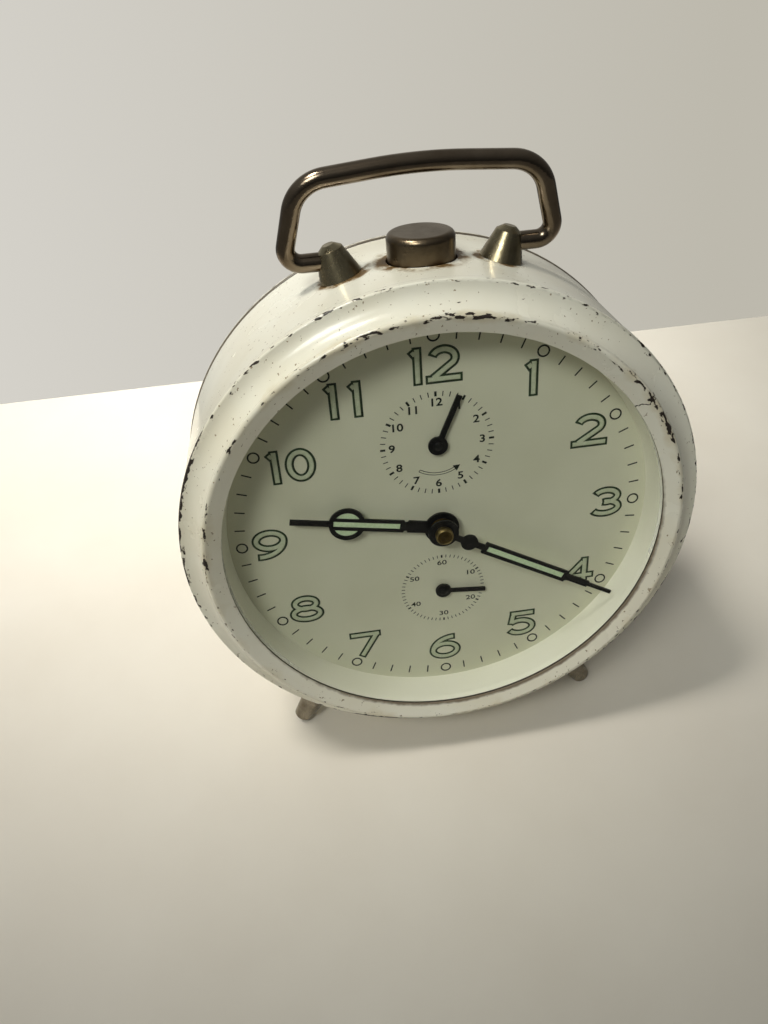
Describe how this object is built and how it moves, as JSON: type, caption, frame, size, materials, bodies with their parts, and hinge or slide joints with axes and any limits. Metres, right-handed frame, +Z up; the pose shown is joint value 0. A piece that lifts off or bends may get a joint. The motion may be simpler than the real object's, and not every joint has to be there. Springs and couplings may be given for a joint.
{
  "type": "wind-up alarm clock",
  "caption": "Round wind-up alarm clock leaning back on splayed feet, with a stop button, a folding carrying handle, hour, minute, second and alarm hands and a full wheel movement.",
  "frame": {"origin": "middle of the footprint box, on the table top", "axes": "+Z up, the dial faces -Y and leans back, +X to the right seen from the front"},
  "size_m": [0.1074, 0.0684, 0.1272],
  "materials": {
    "enamel": "glossy cream enamel, chipped along the edges",
    "glass": "clear flat glass",
    "dial_paint": "matte pale green-cream print",
    "hand_black": "satin black",
    "nickel": "dull worn nickel plate",
    "handle_steel": "dark glossy plated steel",
    "brass": "satin brass",
    "steel": "plain steel"
  },
  "bodies": {
    "case": {"case_drum": "enamel", "bezel": "enamel", "glass": "glass", "dial_ring": "enamel", "dial": "dial_paint", "rear_cover": "enamel", "cover_screws": "nickel", "cover_posts": "brass", "case_nuts": "steel", "foot_left": "nickel", "foot_right": "nickel", "handle_stud_left": "nickel", "handle_stud_right": "nickel", "front_plate": "brass", "back_plate": "brass", "pillars": "brass", "time_mainspring": "steel", "alarm_mainspring": "steel", "hairspring": "steel", "button_bracket": "steel", "button_spring": "steel"},
    "minute_works": {"centre_arbor": "steel", "minute_hand": "hand_black", "hand_nut": "brass", "hand_set_knob": "nickel", "friction_spring": "steel"},
    "hour_works": {"hour_wheel": "brass", "hour_hand": "hand_black"},
    "motion_wheel": {"minute_wheel": "brass"},
    "alarm_wheel": {"alarm_wheel": "brass"},
    "alarm_setting": {"alarm_arbor": "steel", "alarm_hand": "hand_black", "alarm_set_knob": "nickel"},
    "seconds": {"fourth_wheel": "brass", "second_hand": "hand_black"},
    "third": {"third_wheel": "brass"},
    "centre_wheel": {"centre_wheel": "brass"},
    "great": {"great_wheel": "brass", "time_click": "steel"},
    "time_winding": {"time_winding_arbor": "steel", "time_key": "nickel"},
    "escape": {"escape_wheel": "brass"},
    "pallet": {"pallet_lever": "steel"},
    "balance": {"balance_wheel": "brass"},
    "regulator": {"regulator_lever": "steel"},
    "alarm_great": {"alarm_great_wheel": "brass", "alarm_click": "steel"},
    "alarm_winding": {"alarm_winding_arbor": "steel", "alarm_key": "nickel"},
    "alarm_scape": {"alarm_scape_wheel": "brass"},
    "hammer": {"alarm_hammer": "steel"},
    "stop_button": {"stop_button": "nickel"},
    "stop_lever": {"stop_lever": "steel"},
    "handle": {"handle": "handle_steel"}
  },
  "joints": [
    {"name": "minute_turn", "type": "hinge", "parent": "case", "child": "minute_works", "pos_m": [0, -0.01553, 0.05804], "axis": [0, 0.9799, -0.1994], "continuous": true},
    {"name": "hour_turn", "type": "hinge", "parent": "case", "child": "hour_works", "pos_m": [0, -0.01553, 0.05804], "axis": [0, 0.9799, -0.1994], "continuous": true},
    {"name": "motion_wheel_turn", "type": "hinge", "parent": "case", "child": "motion_wheel", "pos_m": [-0.01194, -0.01553, 0.05804], "axis": [0, 0.9799, -0.1994], "continuous": true},
    {"name": "alarm_wheel_turn", "type": "hinge", "parent": "case", "child": "alarm_wheel", "pos_m": [0, -0.01172, 0.07676], "axis": [0, 0.9799, -0.1994], "continuous": true},
    {"name": "alarm_setting_turn", "type": "hinge", "parent": "case", "child": "alarm_setting", "pos_m": [0, -0.01172, 0.07676], "axis": [0, 0.9799, -0.1994], "continuous": true},
    {"name": "seconds_turn", "type": "hinge", "parent": "case", "child": "seconds", "pos_m": [0, -0.01907, 0.0406], "axis": [0, 0.9799, -0.1994], "continuous": true},
    {"name": "third_turn", "type": "hinge", "parent": "case", "child": "third", "pos_m": [0.00762, -0.01753, 0.04821], "axis": [0, 0.9799, -0.1994], "continuous": true},
    {"name": "centre_wheel_turn", "type": "hinge", "parent": "case", "child": "centre_wheel", "pos_m": [0, -0.01553, 0.05804], "axis": [0, 0.9799, -0.1994], "continuous": true},
    {"name": "great_turn", "type": "hinge", "parent": "case", "child": "great", "pos_m": [-0.01817, -0.01449, 0.06314], "axis": [0, 0.9799, -0.1994], "continuous": true},
    {"name": "time_winding_turn", "type": "hinge", "parent": "great", "child": "time_winding", "pos_m": [-0.01817, -0.01449, 0.06314], "axis": [0, -0.9799, 0.1994], "range_deg": [0, 1440]},
    {"name": "escape_turn", "type": "hinge", "parent": "case", "child": "escape", "pos_m": [-0.00901, -0.02026, 0.03476], "axis": [0, 0.9799, -0.1994], "continuous": true},
    {"name": "pallet_rock", "type": "hinge", "parent": "case", "child": "pallet", "pos_m": [-0.01495, -0.02084, 0.03194], "axis": [0, 0.9799, -0.1994], "range_deg": [-4, 4]},
    {"name": "balance_swing", "type": "hinge", "parent": "case", "child": "balance", "pos_m": [-0.0235, -0.02166, 0.02789], "axis": [0, 0.9799, -0.1994], "range_deg": [-135, 135], "stiffness_Nm_per_rad": 0.00001},
    {"name": "regulator_swing", "type": "hinge", "parent": "case", "child": "regulator", "pos_m": [-0.0235, -0.02166, 0.02789], "axis": [0, 0.9799, -0.1994], "range_deg": [-20, 20]},
    {"name": "alarm_great_turn", "type": "hinge", "parent": "case", "child": "alarm_great", "pos_m": [0.024, -0.01313, 0.0698], "axis": [0, 0.9799, -0.1994], "continuous": true},
    {"name": "alarm_winding_turn", "type": "hinge", "parent": "alarm_great", "child": "alarm_winding", "pos_m": [0.024, -0.01313, 0.0698], "axis": [0, -0.9799, 0.1994], "range_deg": [0, 1080]},
    {"name": "alarm_scape_turn", "type": "hinge", "parent": "case", "child": "alarm_scape", "pos_m": [0.01481, -0.01069, 0.08179], "axis": [0, 0.9799, -0.1994], "continuous": true},
    {"name": "hammer_swing", "type": "hinge", "parent": "case", "child": "hammer", "pos_m": [0.0171, -0.00929, 0.08868], "axis": [0, 0.9799, -0.1994], "range_deg": [-6, 8]},
    {"name": "stop_button_press", "type": "slide", "parent": "case", "child": "stop_button", "axis": [0, -0.1994, -0.9799], "range_m": [0, 0.002], "stiffness_N_per_m": 400, "springref_m": -0.002, "deforming": ["button_spring"]},
    {"name": "stop_lever_rock", "type": "hinge", "parent": "case", "child": "stop_lever", "pos_m": [-0.01, -0.00749, 0.09755], "axis": [0, 0.9799, -0.1994], "range_deg": [0, 12.68]},
    {"name": "handle_fold", "type": "hinge", "parent": "case", "child": "handle", "pos_m": [0, 0.00635, 0.10887], "axis": [1, 0, 0], "range_deg": [-91.5, 68.5]}
  ],
  "couplings": [
    {"joint": "hour_turn", "follows": "minute_turn", "ratio": 0.083333},
    {"joint": "motion_wheel_turn", "follows": "minute_turn", "ratio": -0.33333},
    {"joint": "alarm_wheel_turn", "follows": "minute_turn", "ratio": -0.083333},
    {"joint": "third_turn", "follows": "seconds_turn", "ratio": -0.13333},
    {"joint": "centre_wheel_turn", "follows": "seconds_turn", "ratio": 0.016667},
    {"joint": "great_turn", "follows": "seconds_turn", "ratio": -0.0027778},
    {"joint": "escape_turn", "follows": "seconds_turn", "ratio": -8},
    {"joint": "alarm_scape_turn", "follows": "alarm_great_turn", "ratio": -7.5},
    {"joint": "stop_lever_rock", "follows": "stop_button_press", "rad_per_m": 108}
  ]
}
